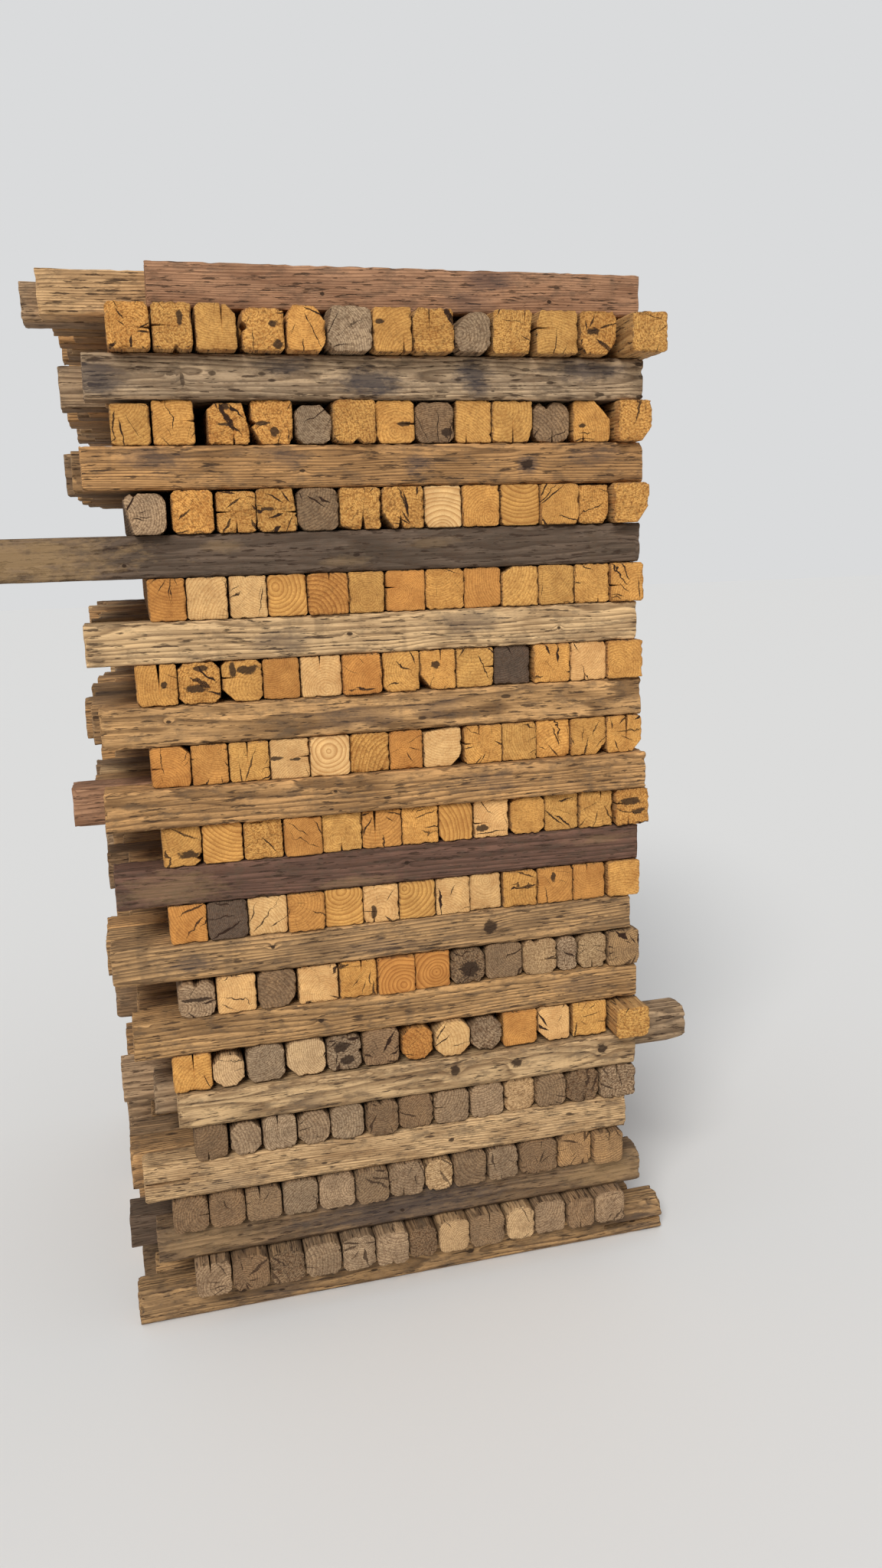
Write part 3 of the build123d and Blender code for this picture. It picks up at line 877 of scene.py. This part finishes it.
# How far the long sides of a lengthwise timber have faded.
FADED_WOOD = 0.55
FADED_RINGS = 0.35

# The offset that stands for no mark: far off, with no strength.
NO_MARK = (9.0, 9.0, 0.0)

# What every mesh tells the material, corner by corner.
VECTORS_ON_MESH = ("wood", "traits", "place", "knot", "stain")
COLOURS_ON_MESH = ("tone", "ring_tone")


@dataclass
class Timber:
    """One timber of a course, made finer from its plain solid.

    Attributes:
        piece: The timber's own mesh under work.
        crosswise: Whether it lies along X.
        tone: Its colour.
        slicing: How finely it is divided.
        seed: A number that makes it differ from the others.
        rough: Whether its ends are roughly sawn.
        banded: Whether wide dark rings stand out in its ends.
        look: The marks on its front side, if it has any.
        end_marks: The dark holes and knots in its near end.
        low: The lowest corner of its box.
        high: The highest corner of its box.
        middle: The middle of its box.
    """

    piece: bmesh.types.BMesh
    crosswise: bool
    tone: Tone
    slicing: Slicing
    seed: int
    rough: bool
    banded: bool
    look: CrosswiseLook | None
    end_marks: tuple[Mark, ...]
    low: Vector = field(init=False)
    high: Vector = field(init=False)
    middle: Vector = field(init=False)

    @property
    def length_axis(self) -> int:
        """The number of the axis that the timber lies along."""
        return 0 if self.crosswise else 1

    @property
    def side_axis(self) -> int:
        """The number of the level axis across the timber."""
        return 1 - self.length_axis

    def cut(self, axis: int, place: float) -> None:
        """Divides the faces along a plane.

        Args:
            axis: The axis that the plane stands across.
            place: Where the plane crosses that axis.
        """
        normal = Vector((0.0, 0.0, 0.0))
        normal[axis] = 1.0
        geometry = self.piece.verts[:] + self.piece.edges[:] + self.piece.faces[:]
        bmesh.ops.bisect_plane(self.piece, geom=geometry, dist=ON_CUT,
                               plane_co=normal * place, plane_no=normal)

    def refine(self) -> None:
        """Rounds the edges and divides the timber into small faces."""
        bmesh.ops.dissolve_limit(self.piece, angle_limit=FLAT, verts=self.piece.verts[:],
                                 edges=self.piece.edges[:], use_dissolve_boundaries=False)
        places = [v.co for v in self.piece.verts]
        self.low = Vector([min(axis) for axis in zip(*places)])
        self.high = Vector([max(axis) for axis in zip(*places)])
        self.middle = (self.low + self.high) / 2
        sharp = [e for e in self.piece.edges if e.is_manifold and e.calc_face_angle() > SHARP]
        bmesh.ops.bevel(self.piece, geom=sharp, offset=WEAR.bevel, offset_type="OFFSET", affect="EDGES",
                        segments=1, profile=0.5, clamp_overlap=True, material=-1)
        start = self.low[self.length_axis]
        stop = self.high[self.length_axis]
        for place in self.slicing.near:
            self.cut(self.length_axis, start + place)
        for place in self.slicing.far:
            self.cut(self.length_axis, stop - place)
        span = stop - start
        count = max(1, round(span / self.slicing.middle))
        for number in range(1, count):
            self.cut(self.length_axis, start + span * number / count)
        for axis in (self.side_axis, 2):
            size = self.high[axis] - self.low[axis]
            for number in range(1, self.slicing.across):
                self.cut(axis, self.low[axis] + size * number / self.slicing.across)

    def depths(self, place: Vector) -> tuple[float, float]:
        """Returns how far a place is from the nearest end and from the nearest long edge.

        Args:
            place: A place on the timber.

        Returns:
            The distance from the end, and the distance from the edge, in metres.
        """
        gaps = [min(place[axis] - self.low[axis], self.high[axis] - place[axis]) for axis in range(3)]
        return gaps[self.length_axis], sorted(gaps)[1]

    def coarseness(self) -> float:
        """Returns how rough the timber's surface is, from 0 to 1."""
        coarse = LOOKS[self.tone].speckle
        if self.rough:
            coarse += ROUGH_SAWING
        if self.banded:
            coarse -= CLEAN_SAWING
        if self.look:
            coarse += self.look.rough * ERODED
        return min(1.0, coarse)

    def roundness(self, end: float) -> float:
        """Returns the radius of the long edges at a distance from the nearest end."""
        if self.crosswise or self.tone not in OLD_TONES:
            return WEAR.sound_round + (WEAR.rough_round if self.rough else 0.0)
        near = max(0.0, 1.0 - end / WEAR.old_end_reach)
        return WEAR.old_round + WEAR.old_end_round * near * (0.5 + 0.1 * (self.seed % 6))

    def rounded(self, vertex: bmesh.types.BMVert, radius: float) -> None:
        """Moves a point that lies in a corner of the section onto the corner's round.

        Args:
            vertex: The point.
            radius: The radius of the round.
        """
        axes = (self.side_axis, 2)
        beyond = []
        for axis in axes:
            half = (self.high[axis] - self.low[axis]) / 2
            beyond.append(abs(vertex.co[axis] - self.middle[axis]) - half + radius)
        far = math.hypot(*beyond)
        if min(beyond) <= 0.0 or far <= radius:
            return
        for axis, excess in zip(axes, beyond):
            away = vertex.co[axis] - self.middle[axis]
            vertex.co[axis] -= math.copysign(excess * (1.0 - radius / far), away)

    def wear(self) -> None:
        """Moves the points a little inwards, most along the edges and at the ends."""
        shift = Vector([self.seed * step for step in BUMP_SHIFT])
        coarse = self.coarseness()
        for vertex in self.piece.verts:
            place = vertex.co.copy()
            end, edge = self.depths(place)
            self.rounded(vertex, self.roundness(end))
            fine = noise.noise(place * WEAR.fine_bumps + shift)
            ragged = noise.noise(place * WEAR.bumps + shift) + WEAR.fine_share * fine
            worn = max(0.0, 1.0 - edge / WEAR.edge_reach)
            deepest = WEAR.smooth + WEAR.coarse * coarse
            inward = WEAR.least + worn * max(0.0, ragged + WEAR.lift) * deepest
            for axis in (self.side_axis, 2):
                away = place[axis] - self.middle[axis]
                half = (self.high[axis] - self.low[axis]) / 2
                reach = max(0.0, abs(away) / half - WEAR.core) / (1.0 - WEAR.core)
                vertex.co[axis] -= math.copysign(inward * reach, away)
            if end < WEAR.end_skin:
                away = place[self.length_axis] - self.middle[self.length_axis]
                bump = noise.noise(place * WEAR.end_bumps + shift)
                relief = WEAR.relief * (bump + WEAR.relief_lift)
                torn = worn * max(0.0, ragged) * WEAR.torn * (0.3 + coarse)
                vertex.co[self.length_axis] -= math.copysign(max(0.0, relief) + torn, away)

    def fade(self, colour: Sequence[float], share: float) -> Sequence[float]:
        """Returns a colour that rain and sun have turned towards brown.

        Args:
            colour: The colour of the fresh wood.
            share: How far it has turned.

        Returns:
            The faded colour, never paler than the fresh one.
        """
        old = LOOKS[Tone.BROWN].wood
        return [min(fresh, fresh * (1.0 - share) + brown * share) for fresh, brown in zip(colour, old)]

    def tinted(self, colour: Sequence[float], shade: float, warmth: float) -> tuple[float, float, float]:
        """Returns a colour made lighter by shade and redder by warmth."""
        return colour[0] * shade * warmth, colour[1] * shade, colour[2] * shade / warmth

    def mark(self) -> None:
        """Writes the attributes that the material reads."""
        chance = random.Random(self.seed)
        look = LOOKS[self.tone]
        turn = chance.uniform(0, math.tau)
        heart = chance.uniform(*HEART_FROM_MIDDLE)
        pith = Vector((math.cos(turn) * heart, math.sin(turn) * heart))
        slope = Vector((chance.uniform(*HEART_SLOPE), chance.uniform(*HEART_SLOPE)))
        shade = chance.uniform(*(OLD_SHADES if self.tone in OLD_TONES else SHADES))
        warmth = chance.uniform(*WARMTHS)
        splits = 0.0
        if not self.banded:
            splits = chance.choice(CRACK_WIDTHS) + (ROUGH_CRACKS if self.rough else 0.0)
        density = BANDED_DENSITY if self.banded else chance.uniform(*RING_DENSITIES)
        traits = (1.0 if self.banded else look.contrast, self.coarseness(), look.age)
        grain_shift = (self.seed % GRAIN_SHIFTS) * GRAIN_SHIFT
        ends = [self.tinted(colour, shade, warmth) for colour in (look.wood, look.ring)]
        sides = ends
        if not self.crosswise:
            faded = (self.fade(look.wood, FADED_WOOD), self.fade(look.ring, FADED_RINGS))
            sides = [self.tinted(colour, shade, warmth) for colour in faded]
        knots = self.look.knots if self.look else self.end_marks
        stains = self.look.stains if self.look else ()
        layers = self.piece.loops.layers
        layer = {name: layers.float_vector.new(name) for name in VECTORS_ON_MESH}
        layer.update({name: layers.float_color.new(name) for name in COLOURS_ON_MESH})
        for face in self.piece.faces:
            centre = face.calc_center_median()
            is_end = abs(face.normal[self.length_axis]) > END_NORMAL
            knot = self.nearest(knots, centre, face.normal)
            stain = self.nearest(stains, centre, face.normal)
            wood, ring = ends if is_end else sides
            for loop in face.loops:
                co = loop.vert.co
                along = co[self.length_axis] - self.middle[self.length_axis]
                across = co[self.side_axis] - self.middle[self.side_axis] - pith.x + slope.x * along
                up = co.z - self.middle.z - pith.y + slope.y * along
                rim = max(0.0, 1.0 - self.depths(co)[1] / WEAR.rim)
                loop[layer["wood"]] = (across, up, along)
                loop[layer["tone"]] = (*wood, splits)
                loop[layer["ring_tone"]] = (*ring, density)
                loop[layer["traits"]] = traits
                loop[layer["place"]] = (1.0 if is_end else 0.0, rim, grain_shift)
                loop[layer["knot"]] = self.offset(knot, co)
                loop[layer["stain"]] = self.offset(stain, co)

    def nearest(self, marks: Sequence[Mark], centre: Vector, normal: Vector) -> Mark | None:
        """Returns the mark that lies nearest to a face, if the face is on the front.

        Args:
            marks: The marks of the timber.
            centre: The middle of the face.
            normal: Where the face looks.

        Returns:
            The mark, or None.
        """
        if not marks or normal.y > FRONT_NORMAL:
            return None
        across = centre.x - self.low.x
        up = centre.z - self.low.z
        return min(marks, key=lambda m: math.hypot((across - m.across) / m.wide, (up - m.up) / m.high))

    def offset(self, mark: Mark | None, co: Vector) -> tuple[float, float, float]:
        """Returns how far a point is from a mark, in the mark's own half sizes.

        Args:
            mark: The mark, or None.
            co: The point.

        Returns:
            The two distances and the mark's strength.
        """
        if mark is None:
            return NO_MARK
        return ((co.x - self.low.x - mark.across) / mark.wide,
                (co.z - self.low.z - mark.up) / mark.high, mark.strength)

    def finished(self, name: str) -> bpy.types.Mesh:
        """Makes the timber's mesh.

        Args:
            name: The name of the mesh.

        Returns:
            The mesh.
        """
        self.refine()
        self.wear()
        self.piece.normal_update()
        self.mark()
        for face in self.piece.faces:
            face.smooth = True
        for edge in self.piece.edges:
            edge.smooth = not edge.is_manifold or edge.calc_face_angle() < CREASED
        return settled(self.piece, name)


@dataclass
class Course:
    """One course of the stack, from its plain node to the finished piece.

    Attributes:
        number: The course's number from the floor.
        node: The name of its node.
        material: The wood that it is made of.
        slot: The record's slot for its finish; not used.
    """

    number: int
    node: str
    material: bpy.types.Material
    slot: str

    @property
    def crosswise(self) -> bool:
        """Whether the timbers lie along X."""
        return self.number % 2 == 1

    def islands(self) -> Iterator[bmesh.types.BMesh]:
        """Yields a mesh for each timber, from the left or from the front."""
        whole = bmesh.new()
        whole.from_mesh(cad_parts[self.node].data)
        bmesh.ops.remove_doubles(whole, verts=whole.verts[:], dist=WELD)
        whole.verts.ensure_lookup_table()
        group = [-1] * len(whole.verts)
        starts = []
        for vertex in whole.verts:
            if group[vertex.index] >= 0:
                continue
            waiting = [vertex]
            group[vertex.index] = len(starts)
            lowest = vertex.co.copy()
            while waiting:
                here = waiting.pop()
                lowest = Vector(map(min, lowest, here.co))
                for edge in here.link_edges:
                    other = edge.other_vert(here)
                    if group[other.index] < 0:
                        group[other.index] = len(starts)
                        waiting.append(other)
            starts.append(lowest)
        order = sorted(range(len(starts)), key=lambda i: starts[i][1 if self.crosswise else 0])
        for wanted in order:
            one = whole.copy()
            others = [v for v in one.verts if group[v.index] != wanted]
            bmesh.ops.delete(one, geom=others, context="VERTS")
            for layer in list(one.loops.layers.uv):
                one.loops.layers.uv.remove(layer)
            yield one
        whole.free()

    def slicing(self, order: int, last: int) -> Slicing:
        """Returns how finely a timber is divided.

        Args:
            order: The timber's place in the course.
            last: The place of the last timber.

        Returns:
            Fine slices where the timber's long side shows, and coarser ones elsewhere.
        """
        outside = order in (0, last)
        if not self.crosswise:
            return OUTERMOST if outside else SHOWN_END
        return SHOWN_SIDE if outside or self.number == TOP_COURSE else TUCKED_IN

    def build(self) -> bpy.types.Object:
        """Makes the course.

        Returns:
            The object, riding on the part's one body, with its node hidden.
        """
        look = CROSSWISE_LOOKS.get(self.number)
        tones = look.tones if look else LENGTHWISE_TONES[self.number]
        course = bmesh.new()
        for order, island in enumerate(self.islands()):
            timber = Timber(
                piece=island,
                crosswise=self.crosswise,
                tone=Tone(tones[order].lower()),
                slicing=self.slicing(order, len(tones) - 1),
                seed=self.number * COURSE_SEED + order * TIMBER_SEED,
                rough=tones[order].isupper(),
                banded=order in BANDED.get(self.number, ()),
                look=look if order == 0 else None,
                end_marks=END_MARKS.get(self.number, {}).get(order, ()),
            )
            mesh = timber.finished(f"timber_{self.number:02d}_{order:02d}")
            course.from_mesh(mesh)
            bpy.data.meshes.remove(mesh)
        bmesh.ops.triangulate(course, faces=[f for f in course.faces if len(f.verts) > 4])
        mesh = settled(course, f"timbers_{self.number:02d}")
        mesh.materials.clear()
        mesh.materials.append(self.material)
        made = placed(mesh.name, mesh)
        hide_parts(self.node)
        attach(made, "root")
        return made


@dataclass(frozen=True)
class Stack:
    """The whole stack.

    Attributes:
        weathered: The lengthwise courses of weathered wood.
    """

    weathered: tuple[int, ...] = (2, 4, 6)

    def build(self) -> Iterator[bpy.types.Object]:
        """Makes every course from the floor up, and yields the finished pieces."""
        materials = {wood: wood.make() for wood in (SIDE_GRAIN, END_GRAIN, WEATHERED_GRAIN)}
        for node in sorted(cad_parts):
            number = int(node.split("_")[1])
            if number % 2:
                wood = SIDE_GRAIN
            elif number in self.weathered:
                wood = WEATHERED_GRAIN
            else:
                wood = END_GRAIN
            yield Course(number, node, materials[wood], wood.slot).build()


@dataclass(frozen=True)
class Studio:
    """The floor, the lamp, the light from all around and the camera.

    Attributes:
        lens_pixels: Focal length in pixels of a picture as tall as picture_height.
        picture_height: Height of that picture in pixels.
        place: Where the camera stands, in metres.
        yaw: How far it is turned to the right, in degrees.
        pitch: How far it looks down, in degrees.
        roll: How far it leans, in degrees.
        lamp_azimuth: How far to the left of the stack's front the lamp stands, in degrees.
        lamp_elevation: How high the lamp stands, in degrees.
        lamp_power: The lamp's strength.
        lamp_spread: How wide the lamp looks, in degrees.
        sky: The strength of the light from all around.
        sky_colour: The colour of that light.
        backdrop: The colour behind the stack.
        ground: The colour of the floor.
        ground_reach: Half the width of the floor, in metres.
    """

    lens_pixels: float = 1494.0
    picture_height: float = 2048.0
    place: tuple[float, float, float] = (-0.419, -2.575, 1.556)
    yaw: float = 14.49
    pitch: float = 12.13
    roll: float = -1.64
    lamp_azimuth: float = 28.0
    lamp_elevation: float = 42.0
    lamp_power: float = 2.2
    lamp_spread: float = 24.0
    sky: float = 0.55
    sky_colour: Colour = painted(236, 240, 246)
    backdrop: Colour = painted(218, 219, 220)
    ground: Colour = painted(228, 226, 222)
    ground_reach: float = 30.0

    def camera(self) -> None:
        """Makes the camera."""
        data = bpy.data.cameras.new("camera")
        data.sensor_fit = "AUTO"
        data.sensor_width = 36.0
        data.lens = self.lens_pixels * data.sensor_width / self.picture_height
        made = placed("camera", data)
        made.location = self.place
        turned = Matrix.Rotation(math.radians(-self.yaw), 4, "Z")
        tilted = Matrix.Rotation(math.radians(90.0 - self.pitch), 4, "X")
        leaned = Matrix.Rotation(math.radians(self.roll), 4, "Z")
        made.rotation_euler = (turned @ tilted @ leaned).to_euler()
        bpy.context.scene.camera = made

    def lamp(self) -> None:
        """Makes a soft, distant lamp."""
        data = bpy.data.lights.new("key", "SUN")
        data.energy = self.lamp_power
        data.angle = math.radians(self.lamp_spread)
        tilt = math.radians(90.0 - self.lamp_elevation)
        placed("key", data).rotation_euler = Euler((tilt, 0.0, math.radians(-self.lamp_azimuth)))

    def floor(self) -> None:
        """Makes the pale floor."""
        ground = bmesh.new()
        bmesh.ops.create_grid(ground, x_segments=1, y_segments=1, size=self.ground_reach)
        mesh = settled(ground, "floor")
        make = Maker(bpy.data.materials.new("pale_floor"))
        surface = make.node("ShaderNodeBsdfPrincipled", {}, {"Base Color": self.ground, "Roughness": 0.9})
        make.node("ShaderNodeOutputMaterial", {}, {"Surface": surface.outputs[0]})
        mesh.materials.append(make.owner)
        placed("floor", mesh)

    def world(self) -> None:
        """Fills the scene with plain pale light, and shows a pale backdrop to the camera."""
        make = Maker(bpy.data.worlds.new("studio"))
        light = make.node("ShaderNodeBackground", {}, {"Color": self.sky_colour, "Strength": self.sky})
        backdrop = make.node("ShaderNodeBackground", {}, {"Color": self.backdrop, "Strength": 1.0})
        seen = make.node("ShaderNodeLightPath", {}, {})
        choice = make.node("ShaderNodeMixShader", {}, {
            0: seen.outputs["Is Camera Ray"],
            1: light.outputs[0],
            2: backdrop.outputs[0],
        })
        make.node("ShaderNodeOutputWorld", {}, {"Surface": choice.outputs[0]})
        bpy.context.scene.world = make.owner

    def build(self) -> None:
        """Makes the whole studio."""
        self.camera()
        self.floor()
        self.world()
        self.lamp()
        bpy.context.scene.view_settings.view_transform = "Standard"


def main() -> None:
    """Builds the stack and the studio."""
    logging.basicConfig(level=logging.INFO)
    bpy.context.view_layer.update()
    for piece in Stack().build():
        log.info("%s has %d faces", piece.name, len(piece.data.polygons))
    Studio().build()
    bpy.context.view_layer.update()


if __name__ == "__main__":
    main()
